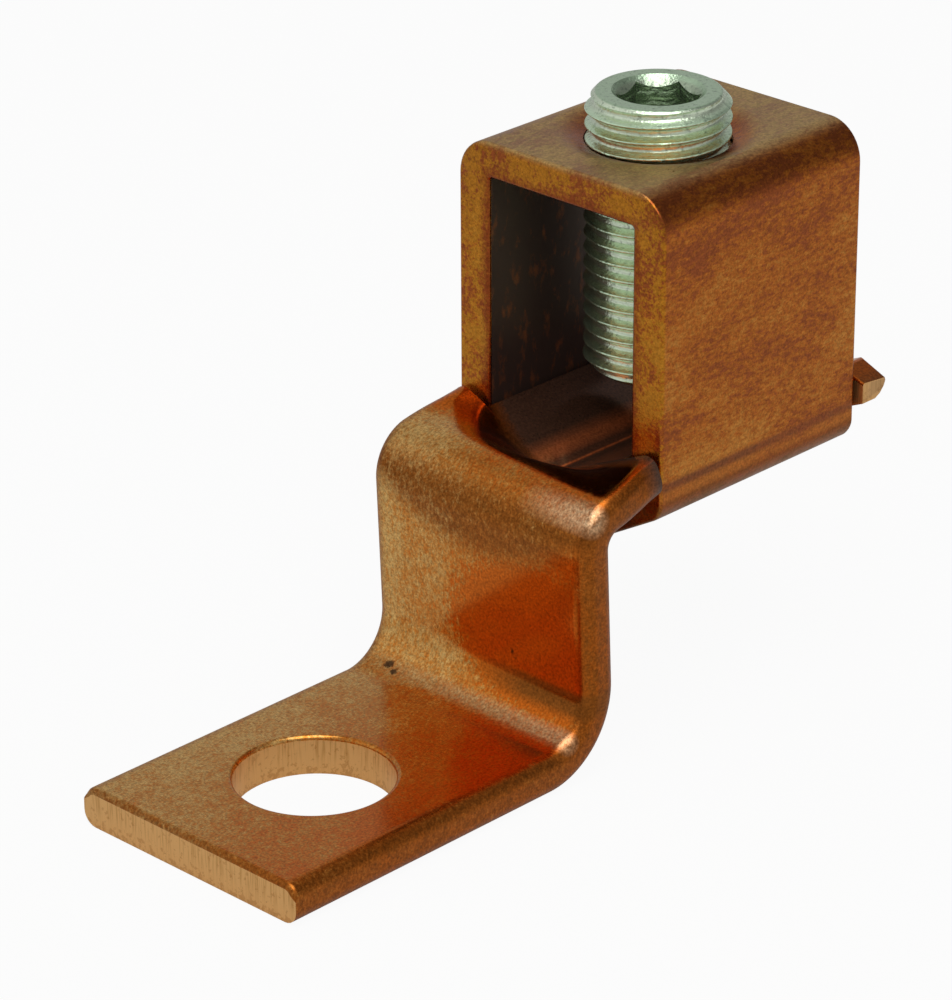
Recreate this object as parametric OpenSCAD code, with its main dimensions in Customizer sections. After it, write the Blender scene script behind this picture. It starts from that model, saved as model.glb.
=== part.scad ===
// Offset terminal lug: a Z-bent copper tang with a V saddle, a captive copper collar and a socket set screw.
// The origin is the centre of the stud hole on the tang's mounting face, +X runs towards the conductor.

/* [Strip] */
// Width of the copper strip
strip_w = 19.05; // [17:0.05:24]
// Thickness of the copper strip
strip_t = 2.7; // [2:0.1:3.2]
// Radius of the strip's side corners, up to almost a full round
edge_r = 1; // [0.4:0.05:1.5]

/* [Tang] */
// Diameter of the punched stud hole
stud_d = 10.32; // [6:0.02:12]
// Stud hole centre to the sheared end of the tang
tang_end = 10.85; // [8:0.05:16]
// Roll-over that the shears leave on the upper edge of the tang's end
roll_r = 0.4; // [0.1:0.05:0.8]
// Break of the stud hole's upper rim
stud_break = 0.3; // [0.1:0.05:0.6]
// Stud hole centre to the start of the lower bend
tang_flat = 11.8; // [8:0.1:20]

/* [Offset] */
// Inner radius of the lower bend
lower_r = 3.2; // [1.5:0.1:5]
// Inner radius of the upper bend
upper_r = 0.9; // [0.5:0.1:2.5]
// Straight length of the riser between the two bends
riser_l = 9.2; // [7:0.1:20]
// Lean of the riser towards the tang, in degrees
riser_lean = 2.5; // [0:0.5:6]
// Upward slope of the ramp behind the upper bend, in degrees
ramp_angle = 11; // [6:0.5:15]
// Length of the ramp along the middle of the strip
ramp_l = 4.3; // [3:0.1:8]

/* [Saddle] */
// Slope of each side of the V that cradles the conductor, in degrees
saddle_angle = 24; // [20:1:28]
// Width of the strip over its shoulders and its head, where the V draws it in
saddle_w = 18.6; // [15:0.1:22]
// Gap between the neck and each inner side of the collar
neck_gap = 0.2; // [0.1:0.05:0.6]
// Gap between the collar and the shoulders in front of it and the head behind it
collar_play = 0.35; // [0.2:0.05:0.8]
// Length of the head that keeps the collar on the neck
head_l = 2.4; // [1.8:0.1:5]
// Bevel under the sheared end of the head
head_bevel = 1.1; // [0.3:0.1:1.2]
// Drop of the head's upper side edges, which the shears roll over
head_roll_drop = 1.5; // [0.2:0.1:1.8]
// Width of that roll-over
head_roll_w = 2; // [0.5:0.1:2.5]

/* [Collar] */
// Length of the collar along the conductor
collar_l = 19.05; // [16:0.05:30]
// Clear width between the side walls
way_w = 12.4; // [11.5:0.1:14.5]
// Clear height from the crease of the saddle to the top wall
way_h = 18.4; // [15:0.05:24]
// Thickness of the side walls
side_wall = 2.65; // [2:0.05:4]
// Thickness of the top wall
top_wall = 2.4; // [2:0.1:4]
// Thickness of the V floor under the crease
floor_wall = 2.55; // [2.2:0.05:4]
// Slope of each side of the V floor on the outside, in degrees
floor_angle = 30; // [28:1:33]
// Radius of the two upper outer corners
crown_r = 2.6; // [1:0.1:4]
// Radius of the two outer corners between the side walls and the floor
flank_r = 1.5; // [0.5:0.1:3]
// Radius of the keel under the V floor
keel_r = 2.5; // [1:0.1:4]

/* [Set screw] */
// Major diameter of the thread
screw_d = 9.525; // [8:0.005:10]
// Overall length of the set screw
screw_l = 19.05; // [15:0.05:24]
// Collar's front face to the axis of the screw
screw_from_front = 9.25; // [7:0.05:10.5]
// Radial running clearance of the screw in its hole
screw_clear = 0.05; // [0.02:0.01:0.1]
// Width of the shallow dish that the punch leaves round the screw hole
dish_w = 1.8; // [0.5:0.1:2.5]
// Depth of that dish at the hole
dish_depth = 0.6; // [0.2:0.05:0.9]
// Height of the screw's tip above the sides of the saddle
tip_lift = 2.7; // [0.5:0.05:6]
// Radius of the flat tip inside its chamfer
tip_r = 3.9; // [3:0.1:4]
// Length of the tip's chamfer
tip_chamfer = 0.9; // [0.4:0.1:1.5]
// Radius of the flat ring on top inside its chamfer
crown_ring_r = 4.05; // [3.6:0.05:4.4]
// Length of the top chamfer
crown_chamfer = 0.8; // [0.4:0.1:1.5]
// Hexagon socket across flats
hex_af = 4.76; // [4:0.01:5]
// Depth of the hexagon socket
hex_depth = 4.8; // [3:0.1:7]
// Radius of the countersink round the socket
hex_sink_r = 3.05; // [3.05:0.05:3.5]
// Turn of the socket in the photographed position, in degrees
hex_turn = -46; // [-60:1:60]

/* [Hidden] */
$fn = 96;

// Reach of the cutters past the faces they cut
over = 1;
// Half angle between the drill point at the socket's floor and its axis
drill_half_angle = 59;
// Reach of the neck into the ramp and the head, so that they join
lap = 0.1;
// Steps round each side corner, over the roll-over, round each bend and along the ramp
corner_steps = 5;
roll_steps = 4;
bend_steps = 16;
ramp_steps = 8;

// Side corners of the strip, kept below a full round so that a flat is left between them
corner_share = 0.48;
corner_r = min(edge_r, corner_share * strip_t);
// Centre of each upper and lower side corner, from the line that the side folds about
corner_c = [strip_t / 2 - corner_r, strip_t / 2 - corner_r];
// That line's distance from the middle plane, where the strip is flat and at the shoulders
edge_y = (strip_w - strip_t) / 2;
shoulder_y = saddle_w / 2 - corner_r - corner_c * [cos(saddle_angle), sin(saddle_angle)];

// The bends in the XZ plane: along is the riser's direction upwards, across points to its back
riser_along = [-sin(riser_lean), cos(riser_lean)];
riser_across = [cos(riser_lean), sin(riser_lean)];
ramp_along = [cos(ramp_angle), sin(ramp_angle)];
ramp_up = [-sin(ramp_angle), cos(ramp_angle)];
lower_c = [tang_flat, strip_t + lower_r];
upper_c = lower_c + (lower_r + strip_t + upper_r) * riser_across + riser_l * riser_along;
ramp_foot = upper_c + (upper_r + strip_t / 2) * ramp_up;
ramp_head = ramp_foot + ramp_l * ramp_along;

// Places along X
shoulder_x = ramp_head.x;
collar_x = shoulder_x + collar_play;
head_x = collar_x + collar_l + collar_play;
end_x = head_x + head_l;
screw_x = collar_x + screw_from_front;

// Heights of the saddle at its crease: the middle of the strip, its top and its underside
mid_z = ramp_head.y - shoulder_y * tan(saddle_angle);
crease_z = mid_z + strip_t / 2 / cos(saddle_angle);
under_z = mid_z - strip_t / 2 / cos(saddle_angle);

// Outline of the collar
collar_w = way_w + 2 * side_wall;
way_top_z = crease_z + way_h;
collar_top_z = way_top_z + top_wall;
keel_z = under_z - floor_wall / cos(floor_angle);
flank_z = keel_z + collar_w / 2 * tan(floor_angle);

// Height of the screw's tip
tip_z = crease_z + tip_r * tan(saddle_angle) + tip_lift;

// Point on the V whose crease is at height z, at a distance y to the side
function vee(y, z, slope) = [y, z + abs(y) * tan(slope)];

// Unit vector of v
function unit(v) = v / norm(v);

// Distance from a corner to where an arc of radius r leaves its two sides, a and b being unit vectors along them
function tangent_length(a, b, r) = r / tan(acos(a * b) / 2);

// Centre of the arc of radius r that rounds the corner c between the sides towards p and q
function arc_centre(p, c, q, r) =
    let (a = unit(p - c), b = unit(q - c))
    c + unit(a + b) * r / sin(acos(a * b) / 2);

// The two points where that arc meets the sides
function arc_ends(p, c, q, r) =
    let (a = unit(p - c), b = unit(q - c), l = tangent_length(a, b, r))
    [c + l * a, c + l * b];

// A polygon whose corners are rounded by true arcs, given its corners and their radii in the same order
module rounded_polygon(corners, radii) {
    n = len(corners);
    polygon([
        for (i = [0 : n - 1])
            each arc_ends(corners[(i + n - 1) % n], corners[i], corners[(i + 1) % n], radii[i])
    ]);
    for (i = [0 : n - 1])
        translate(arc_centre(corners[(i + n - 1) % n], corners[i], corners[(i + 1) % n], radii[i]))
            circle(radii[i]);
}

// Extrudes a section drawn in YZ along X
module along_x(from_x, to_x) {
    translate([from_x, 0, 0])
        rotate([90, 0, 90])
            linear_extrude(to_x - from_x)
                children();
}

// Cutter for a round hole through a wall, with its upper rim opened by a cone of a given width and depth
module hole(r, from_z, to_z, rim_w, rim_depth) {
    translate([0, 0, from_z - over])
        cylinder(r = r, h = to_z - from_z + 2 * over);
    translate([0, 0, to_z - rim_depth])
        cylinder(r1 = r, r2 = r + rim_w * (1 + over / rim_depth), h = rim_depth + over);
}

// Section of the V saddle out to a given half width, with its upper side edges dropped over a given width
module saddle_section(half_w, drop = 0, drop_w = 0) {
    side = concat(
        [vee(half_w, under_z, saddle_angle), vee(half_w, crease_z - drop, saddle_angle)],
        drop > 0 ? [vee(half_w - drop_w, crease_z, saddle_angle)] : []
    );
    last = len(side) - 1;
    polygon(concat(
        side,
        [[0, crease_z]],
        [for (i = [last : -1 : 0]) [-side[i].x, side[i].y]],
        [[0, under_z]]
    ));
}

// Side of the strip from its upper corner to its lower one, about the line that it folds about
function side_outline() = [
    for (end = [1, -1], i = [0 : corner_steps])
        let (a = end > 0 ? 90 - 90 * i / corner_steps : -90 * i / corner_steps)
        [corner_c.x, end * corner_c.y] + corner_r * [cos(a), sin(a)]
];

// Outline of the strip, folded by a fraction k of the full V: the crease on top, one side from top to bottom,
// the crease underneath, the other side back up
function folded_outline(k) =
    let (
        slope = k * saddle_angle,
        fold_y = edge_y + k * (shoulder_y - edge_y),
        dip = fold_y * tan(slope),
        half_t = strip_t / 2 / cos(slope),
        side = [
            for (p = side_outline())
                [fold_y + p.x * cos(slope) - p.y * sin(slope), p.x * sin(slope) + p.y * cos(slope)]
        ],
        last = len(side) - 1
    )
    concat(
        [[0, half_t - dip]],
        side,
        [[0, -half_t - dip]],
        [for (i = [last : -1 : 0]) [-side[i].x, side[i].y]]
    );

// Stations along the middle of the strip, each [x, z, slope of the strip, fold, drop of its top]
stations = concat(
    [
        for (i = [0 : roll_steps])
            let (a = 90 * i / roll_steps)
            [-tang_end + roll_r * (1 - cos(a)), strip_t / 2, 0, 0, roll_r * (1 - sin(a))]
    ],
    [
        for (i = [0 : bend_steps])
            let (
                slope = (90 + riser_lean) * i / bend_steps,
                p = lower_c + (lower_r + strip_t / 2) * [sin(slope), -cos(slope)]
            )
            [p.x, p.y, slope, 0, 0]
    ],
    [
        for (i = [0 : bend_steps])
            let (
                slope = 90 + riser_lean - (90 + riser_lean - ramp_angle) * i / bend_steps,
                p = upper_c + (upper_r + strip_t / 2) * [-sin(slope), cos(slope)]
            )
            [p.x, p.y, slope, 0, 0]
    ],
    [
        for (i = [1 : ramp_steps])
            let (
                k = i / ramp_steps,
                p = ramp_foot + k * ramp_l * ramp_along
            )
            [p.x, p.y, ramp_angle * (1 - k), k * k * (3 - 2 * k), 0]
    ]
);

// Points round the strip at a station
function strip_ring(station) = [
    for (p = folded_outline(station[3]))
        let (v = min(p.y, strip_t / 2 - station[4]))
        [station[0] - v * sin(station[2]), p.x, station[1] + v * cos(station[2])]
];

// The strip from the sheared end of the tang to the shoulders: flat, bent twice and then pressed into the V
module strip() {
    n = 4 * corner_steps + 6;
    half = n / 2;
    last = len(stations) - 1;
    polyhedron(
        points = [for (s = stations) each strip_ring(s)],
        faces = concat(
            [
                [for (j = [half : -1 : 0]) j],
                [half, 0, for (j = [n - 1 : -1 : half + 1]) j],
                [for (j = [0 : half]) last * n + j],
                [last * n, for (j = [half : n - 1]) last * n + j]
            ],
            [
                for (i = [0 : last - 1], j = [0 : n - 1])
                    [i * n + j, i * n + (j + 1) % n, (i + 1) * n + j]
            ],
            [
                for (i = [0 : last - 1], j = [0 : n - 1])
                    [i * n + (j + 1) % n, (i + 1) * n + (j + 1) % n, (i + 1) * n + j]
            ]
        )
    );
}

// Head behind the collar, sheared on its sides and end and rolled over along its upper side edges
module head() {
    difference() {
        along_x(head_x, end_x)
            saddle_section(saddle_w / 2, head_roll_drop, head_roll_w);
        for (side = [0, 1])
            mirror([0, side, 0])
                translate([end_x, 0, under_z])
                    rotate([saddle_angle, 0, 0])
                        rotate([0, 45, 0])
                            cube([head_bevel * sqrt(2), 2 * saddle_w, head_bevel * sqrt(2)], center = true);
    }
}

module offset_tang() {
    color("peru") {
        difference() {
            strip();
            hole(stud_d / 2, 0, strip_t, stud_break, stud_break);
        }
        along_x(shoulder_x - lap, head_x + lap)
            saddle_section(way_w / 2 - neck_gap);
        head();
    }
}

module collar() {
    half_w = collar_w / 2;
    half_way = way_w / 2;
    color("chocolate")
        difference() {
            along_x(collar_x, collar_x + collar_l)
                rounded_polygon(
                    [
                        [0, keel_z], [half_w, flank_z], [half_w, collar_top_z],
                        [-half_w, collar_top_z], [-half_w, flank_z]
                    ],
                    [keel_r, flank_r, crown_r, crown_r, flank_r]
                );
            along_x(collar_x - over, collar_x + collar_l + over)
                polygon([
                    [0, under_z],
                    vee(half_way, under_z, saddle_angle),
                    [half_way, way_top_z],
                    [-half_way, way_top_z],
                    vee(-half_way, under_z, saddle_angle)
                ]);
            translate([screw_x, 0, 0])
                hole(screw_d / 2 + screw_clear, way_top_z, collar_top_z, dish_w, dish_depth);
        }
}

module set_screw() {
    hex_r = hex_af / 2 / cos(30);
    sink_h = hex_sink_r - hex_r;
    color("silver")
        translate([screw_x, 0, tip_z])
            difference() {
                rotate_extrude()
                    polygon([
                        [0, 0], [tip_r, 0], [screw_d / 2, tip_chamfer],
                        [screw_d / 2, screw_l - crown_chamfer], [crown_ring_r, screw_l], [0, screw_l]
                    ]);
                translate([0, 0, screw_l - hex_depth])
                    rotate(hex_turn)
                        cylinder(r = hex_r, h = hex_depth + over, $fn = 6);
                translate([0, 0, screw_l - sink_h])
                    cylinder(r1 = hex_r, r2 = hex_sink_r + over, h = sink_h + over);
                translate([0, 0, screw_l - hex_depth - hex_af / 2 / tan(drill_half_angle)])
                    cylinder(r1 = 0, r2 = hex_af / 2, h = hex_af / 2 / tan(drill_half_angle));
            }
}

offset_tang();
collar();
set_screw();
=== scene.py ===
"""Visual model of an offset terminal lug: a bent copper tang, a copper collar and a plated set screw."""

import math
from functools import partial

import bmesh
import bpy
from bpy.props import FloatProperty, FloatVectorProperty, PointerProperty
from mathutils import Matrix, Vector


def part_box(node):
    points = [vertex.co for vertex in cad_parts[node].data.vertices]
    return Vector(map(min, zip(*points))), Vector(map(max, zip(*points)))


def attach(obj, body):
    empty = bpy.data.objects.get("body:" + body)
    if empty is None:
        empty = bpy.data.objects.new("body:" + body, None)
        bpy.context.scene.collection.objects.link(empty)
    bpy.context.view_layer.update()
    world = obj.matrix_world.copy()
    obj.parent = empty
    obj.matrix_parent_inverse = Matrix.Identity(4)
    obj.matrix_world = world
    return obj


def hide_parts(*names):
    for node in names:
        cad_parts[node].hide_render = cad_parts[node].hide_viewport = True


bl_info = {
    "name": "Offset Terminal Lug",
    "version": (1, 0, 0),
    "blender": (4, 5, 0),
    "location": "View3D > Sidebar > Terminal Lug",
    "description": "Models and finishes a copper offset terminal lug on its CAD frame",
    "category": "Add Mesh",
}

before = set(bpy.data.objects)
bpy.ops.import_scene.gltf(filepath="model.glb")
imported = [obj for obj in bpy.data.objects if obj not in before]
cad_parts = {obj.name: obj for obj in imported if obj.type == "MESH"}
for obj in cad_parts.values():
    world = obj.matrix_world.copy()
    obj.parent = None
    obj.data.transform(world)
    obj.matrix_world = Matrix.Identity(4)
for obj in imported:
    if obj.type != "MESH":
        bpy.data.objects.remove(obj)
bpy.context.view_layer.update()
COLLAR_LOW, COLLAR_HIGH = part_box("collar")
SCREW_LOW, SCREW_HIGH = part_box("set_screw")
TANG_LOW, TANG_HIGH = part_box("offset_tang")
COLLAR_MIDDLE = (COLLAR_LOW.x + COLLAR_HIGH.x) / 2
COLLAR_LENGTH = COLLAR_HIGH.x - COLLAR_LOW.x
SCREW_AXIS = Vector(((SCREW_LOW.x + SCREW_HIGH.x) / 2, 0, 0))
SCREW_RADIUS = (SCREW_HIGH.y - SCREW_LOW.y) / 2

# Lengths are in metres, and a place counts as the same within a thousandth of a millimetre
MM = 0.001
SAME = 0.001 * MM
# Reach of one piece or tool past another where the two are joined or cut
LAP = 0.1 * MM
POINT_LAP = 0.01 * MM
# Slack with which the edge of the punched hole is found
PUNCH_SLACK = 0.02 * MM
# Softening of the head's rolled-over edges and of the screw's turned edges
HEAD_SOFT = 0.22 * MM
SCREW_SOFT = 0.12 * MM
# An edge counts as sharp above the first two angles, and is shaded smooth below the other two
SHARP = math.radians(45)
ROLL_SHARP = math.radians(20)
SMOOTH = math.radians(38)
THREAD_SMOOTH = math.radians(32)
# How far the large faces outweigh the small ones in the shading, of 100
FACE_WEIGHT = 80
# A face looks along an axis when that part of its normal is above the first value, across it below the other
ALONG, ACROSS = 0.9, 0.1
# Sides of the round tools, and steps across the strip, round its corners, round each bend and along the ramp
ROUND_SIDES = 128
STRIP_COLUMNS, STRIP_CORNER, BEND_STEPS, RAMP_STEPS = 16, 6, 24, 20
COLLAR_CORNER = 12
# Side view of the dish round the screw hole, as shares of its width and depth, ending above the top wall
DISH_PROFILE = ((0.5, 0.54), (0.75, 0.78), (1.0, 0.94), (1.25, 1.02), (1.5, 2.0))
# Lower half of the thread's profile, from root to crest, as shares of the pitch and the depth
THREAD_PROFILE = ((0.0, 0.0), (0.14, 0.02), (0.22, 0.12), (0.3, 0.36), (0.37, 0.7), (0.43, 0.93), (0.5, 1.0))
# Steps in a turn of the thread, and turns that it is wound past each end of the screw
THREAD_STEPS = 72
SPARE_TURNS = 2
# Half the angle of the drill's point in the floor of the socket
DRILL_HALF = math.radians(59)

# Middle of the painted highlight line on the inside of the lower bend, from the tang's top up towards the
# riser
HIGHLIGHT_ANGLE = math.radians(30)
# Middle of the painted highlight line on the outside of the upper bend
UPPER_HIGHLIGHT = (15.6 * MM, 0.0, 17.9 * MM)
# Middle and reach of the painted orange reflection on the riser, a patch nearly bare of haze
REFLECTION_MIDDLE = (15.2 * MM, -5.0 * MM, 8.3 * MM)
REFLECTION_REACH = (3.0 * MM, 7.8 * MM, 5.2 * MM)
# Small dents on the lower bend and the riser: place and radius, in millimetres
DENTS = ((13.44, 6.8, 3.15, 0.4), (13.07, 6.06, 2.96, 0.32), (14.9, -2.9, 6.9, 0.2), (14.85, -3.1, 6.5, 0.16))
# Stretches along X on which the haze grows thin, and on which the saddle's dark oxide and painted shade start
# and end
RAMP_HAZE = (18.5 * MM, 20.5 * MM)
SADDLE_START = (21.2 * MM, 22.6 * MM)
SADDLE_END = (TANG_HIGH.x - 2.2 * MM, TANG_HIGH.x - 4.4 * MM)
# Curve with which that dark starts later towards the left, and with which the brown patch of painted
# reflection hangs, per metre
SADDLE_CURVE = -45.0
PATCH_CURVE = -36.0
# Heights between which the lower and upper limits of the brown patch and of the dull foot of the riser fade
PATCH_LOW, PATCH_HIGH = (12.2 * MM, 14.0 * MM), (18.8 * MM, 17.0 * MM)
FOOT_LOW, FOOT_HIGH = (3.9 * MM, 4.5 * MM), (5.9 * MM, 5.6 * MM)
# Stretch across the saddle's crease, from left to right, and how strong its painted reflection and highlight
# are on the way
CREASE_STRETCH = (4 * MM, -MM)
CREASE_REFLECTION = ((0.3, 0.03), (0.42, 0.35), (0.52, 0.75), (0.62, 0.55), (0.7, 0.08), (0.77, 0.1), (0.795, 1),
              (0.83, 0))
# Painted shade in bands along the collar's lower rounding, where it mirrors the shadowed floor, by shares of
# its height, and how far they show
FLANK_SHADING = ((0.17, "#6A5030"), (0.21, "#7C4426"), (0.225, "#BC7030"), (0.238, "#BC7030"), (0.25, "#784230"),
             (0.262, "#784230"))
BAND_SHARE = ((0.262, 0.7), (0.28, 0), (0.98, 0), (0.998, 0.8))

# The photograph's height in pixels, the camera's focal length in the same pixels, and the point it aims at
PICTURE_HEIGHT = 1000
FOCAL_PIXELS = 4614.73
CAMERA_AIM = Vector((14.665 * MM, 0, 16.731 * MM))
SENSOR_HEIGHT = 36
CLIP_START, CLIP_END = 0.01, 20
# The floor's width and its gap under the tang, and its share of plain white for the camera and in reflections
FLOOR_WIDTH = 6
FLOOR_GAP = 0.02 * MM
FLOOR_WHITE, FLOOR_MIRRORED = 0.94, 0.15
# Directions of the room's unlit side, away from the camera to the right, and of the bright wall that the
# tang and the riser show by way of each other, and the cosines between which each of them fades in
UNLIT_SIDE, UNLIT_FADE = (0.835, -0.246, 0.491), (0.7, 0.95)
LIT_SIDE, LIT_FADE = (-0.652, 0.631, 0.42), (0.75, 0.98)
# Height of the view at which the walls have turned into the brightness overhead
OVERHEAD = 0.6
# The soft lamp: the point that it aims at, its direction from there, its distance and its size
LAMP_AIM = Vector((20 * MM, 0, 18 * MM))
LAMP_WAY = Vector((-0.22, -0.28, 0.93)).normalized()
LAMP_DISTANCE = 0.45
LAMP_WIDTH, LAMP_DEPTH = 0.3, 0.45


def linear(hex_colour):
    """Turns an sRGB hex value into linear red, green, blue and alpha."""
    parts = [int(hex_colour[i:i + 2], 16) / 255 for i in (1, 3, 5)]
    return tuple(c / 12.92 if c <= 0.04045 else ((c + 0.055) / 1.055) ** 2.4 for c in parts) + (1.0,)


def length(name, description, default):
    """A length that the user can change, in metres."""
    return FloatProperty(name=name, description=description, default=default, unit="LENGTH", precision=5)


def slope(name, description, degrees):
    """An angle that the user can change."""
    return FloatProperty(name=name, description=description, default=math.radians(degrees), subtype="ANGLE")


def level(name, description, default, unit="NONE"):
    """A brightness or power that the user can change."""
    return FloatProperty(name=name, description=description, default=default, unit=unit)


def colour(name, description, hex_colour):
    """A colour that the user can change, given as an sRGB hex value."""
    return FloatVectorProperty(name=name, description=description, default=linear(hex_colour), size=4,
                               subtype="COLOR", min=0, max=1)


class TangSettings(bpy.types.PropertyGroup):
    """Sizes and colours of the bent strip"""
    width: length("Strip width", "Width of the copper strip", TANG_HIGH.y - TANG_LOW.y)
    thickness: length("Strip thickness", "Thickness of the copper strip", 2.7 * MM)
    corner: length("Side corners", "Radius of the strip's side corners", 1.0 * MM)
    end: length("Tang end", "Stud hole centre to the sheared end", -TANG_LOW.x)
    roll: length("Roll-over", "Rounding that the shears leave on the end's upper edge", 0.4 * MM)
    stud: length("Stud hole", "Diameter of the punched stud hole", 10.32 * MM)
    stud_break: length("Hole rim", "Rounding of the stud hole's upper rim", 0.3 * MM)
    flat: length("Tang flat", "Stud hole centre to the start of the lower bend", 11.8 * MM)
    lower_radius: length("Lower bend", "Inner radius of the lower bend", 3.2 * MM)
    upper_radius: length("Upper bend", "Inner radius of the upper bend", 0.9 * MM)
    riser: length("Riser", "Straight length between the two bends", 9.2 * MM)
    lean: slope("Riser lean", "Lean of the riser towards the tang", 2.5)
    ramp: length("Ramp", "Length of the ramp behind the upper bend", 4.3 * MM)
    ramp_slope: slope("Ramp slope", "Upward slope of the ramp at its foot", 11)
    vee: slope("Saddle slope", "Slope of each side of the V", 24)
    saddle: length("Saddle width", "Width over the shoulders and the head", 18.6 * MM)
    neck: length("Neck width", "Width of the notched neck inside the collar", 12.0 * MM)
    head_bevel: length("Head bevel", "Rounding under the sheared end of the head", 1.1 * MM)
    head_drop: length("Head roll-over drop", "Drop of the head's rolled-over upper side edges", 1.5 * MM)
    head_roll: length("Head roll-over width", "Width of that roll-over", 2.0 * MM)
    copper: colour("Copper", "Rolled copper under its thin oxide", "#CA843A")
    deep: colour("Deep copper", "Deep orange grains where the oxide is thinnest", "#CA661C")
    haze: colour("Haze", "Pale olive grains where the oxide is thickest", "#DCB16C")
    # The saddle's dark is oxide and painted shade: shade under the collar, and the collar's dark inside
    # mirrored where the ramp meets it
    oxide: colour("Oxide", "Dark oxide and painted shade of the saddle", "#5E4234")
    # Painted reflection and highlight on the saddle's crease
    crease: colour("Crease", "Painted reflection and highlight along the saddle's crease", "#E47A44")
    # Brown of the painted shade on the strip's sides and sheared end, of the painted reflection on the upper
    # bend and of the riser's foot
    edge: colour("Edge", "Brown of the painted shade on the strip's sides, the painted reflection on the upper bend and the riser's foot", "#90521E")
    # Painted highlight along the inside of the lower bend and on the right of the upper bend
    painted_highlight: colour("Painted highlight copper", "Painted highlight along the bends", "#E6BC90")
    dent: colour("Dent", "Dark oxide in the small dents", "#3A2A20")
    sheared: colour("Sheared copper", "Fresh copper on the sheared faces", "#E8B676")
    drawn: colour("Drawn copper", "Darker lines that the tool drew down the sheared faces", "#B4803E")
    torn: colour("Torn copper", "Flecks where the sheared metal tore off", "#A86A2C")


class CollarSettings(bpy.types.PropertyGroup):
    """Sizes and colours of the collar"""
    way: length("Conductor way", "Clear width between the side walls", 12.4 * MM)
    top_wall: length("Top wall", "Thickness of the top wall", 2.4 * MM)
    floor_slope: slope("Floor slope", "Outer slope of each side of the V floor", 30)
    crown: length("Crown radius", "Radius of the upper outer corners", 2.6 * MM)
    flank: length("Flank radius", "Radius between the side walls and the floor", 1.5 * MM)
    keel: length("Keel radius", "Radius of the keel under the floor", 2.5 * MM)
    rim: length("Rim", "Rounding of the sawn edges at both mouths", 0.25 * MM)
    bore_clearance: length("Bore clearance", "Radial clearance round the screw", 0.05 * MM)
    dish: length("Dish", "Width of the shallow dish round the screw hole", 1.8 * MM)
    dish_depth: length("Dish depth", "Depth of that dish at the hole", 0.6 * MM)
    copper: colour("Copper", "Extruded copper under its oxide", "#B66623")
    gold: colour("Gold", "Golden grains of the oxide", "#C9853A")
    stain: colour("Stain", "Purple-brown stains of the oxide", "#984F27")
    sawn: colour("Sawn front", "Golden oxide between the stains of the sawn front", "#BE8224")
    mouth: colour("Mouth", "Red-brown oxide of the front next to the mouth", "#8E4622")
    olive: colour("Olive", "Olive haze on the top wall", "#BCA06A")
    # Brown-black oxide inside the collar, partly painted shade
    oxide: colour("Oxide", "Brown-black oxide and painted shade inside the collar", "#54413A")
    streak: colour("Streak", "Browner streaks inside the collar", "#A05E38")


class ScrewSettings(bpy.types.PropertyGroup):
    """Sizes and colours of the set screw"""
    pitch: length("Pitch", "Distance from thread to thread", 25.4 / 24 * MM)
    depth: length("Thread depth", "Radial depth of the thread", 0.62 * MM)
    tip_radius: length("Tip radius", "Radius of the flat tip", 3.9 * MM)
    tip_chamfer: length("Tip chamfer", "Length of the tip's chamfer", 0.9 * MM)
    ring_radius: length("Ring radius", "Outer radius of the flat ring on top", 4.05 * MM)
    ring_chamfer: length("Ring chamfer", "Length of the top chamfer", 0.8 * MM)
    hexagon: length("Hexagon", "Socket across flats", 4.76 * MM)
    socket: length("Socket depth", "Depth of the socket", 4.8 * MM)
    sink: length("Countersink", "Radius of the countersink round the socket", 3.05 * MM)
    socket_turn: slope("Socket turn", "Turn of the socket about the axis", -46)
    plating: colour("Plating", "Plating of the turned ring, with a faint green cast", "#BED8B8")
    broached: colour("Broached socket", "Duller plating inside the socket", "#B4C4AA")
    # Painted light: the thread's root and crest are painted brighter than the ring
    root: colour("Thread root", "Pale plating in the thread's root, painted brighter for the light it catches", "#E6F4DA")
    rolled: colour("Thread plating", "Plating of the thread, painted brighter for the light it catches", "#DEF8D6")
    dirt: colour("Dirt", "Dark specks in the plating", "#56685A")


class StageSettings(bpy.types.PropertyGroup):
    """Camera, floor and light"""
    distance: length("Camera distance", "Camera to the point that it aims at", 292.87 * MM)
    azimuth: slope("Azimuth", "Turn of the camera about the vertical", -45.9383)
    elevation: slope("Elevation", "Height of the camera above the horizontal", 24.804)
    roll: slope("Roll", "Roll of the camera", -0.2338)
    room: level("Room", "Brightness overhead as the metal sees it", 0.46)
    horizon: level("Horizon", "Brightness of the walls as the metal sees them", 0.4)
    unlit: level("Unlit side", "Share of that light on the unlit side", 0.4)
    lit: level("Bright wall", "Gain of that light on the bright wall", 1.5)
    fill: level("Fill", "Plain light of the room on matt surfaces", 0.42)
    key: level("Key lamp", "Power of the soft lamp overhead", 1.0, unit="POWER")
    floor: colour("Floor", "Pale floor", "#D6D6D4")


def clear_selection():
    """Leaves edit mode and deselects everything."""
    if bpy.context.mode != "OBJECT":
        bpy.ops.object.mode_set(mode="OBJECT")
    bpy.ops.object.select_all(action="DESELECT")


def take_up(piece):
    """Makes a piece the only selected one and the active one."""
    clear_selection()
    piece.select_set(True)
    bpy.context.view_layer.objects.active = piece


def begin(name, primitive, **where):
    """Adds a primitive at its size and place, names it and opens its mesh for editing."""
    clear_selection()
    primitive(**where)
    piece = bpy.context.object
    piece.name = piece.data.name = name
    bpy.ops.object.transform_apply(location=True, rotation=True, scale=True)
    bpy.ops.object.mode_set(mode="EDIT")
    bpy.ops.mesh.select_mode(type="VERT")
    bpy.ops.mesh.select_all(action="SELECT")
    return piece


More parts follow.
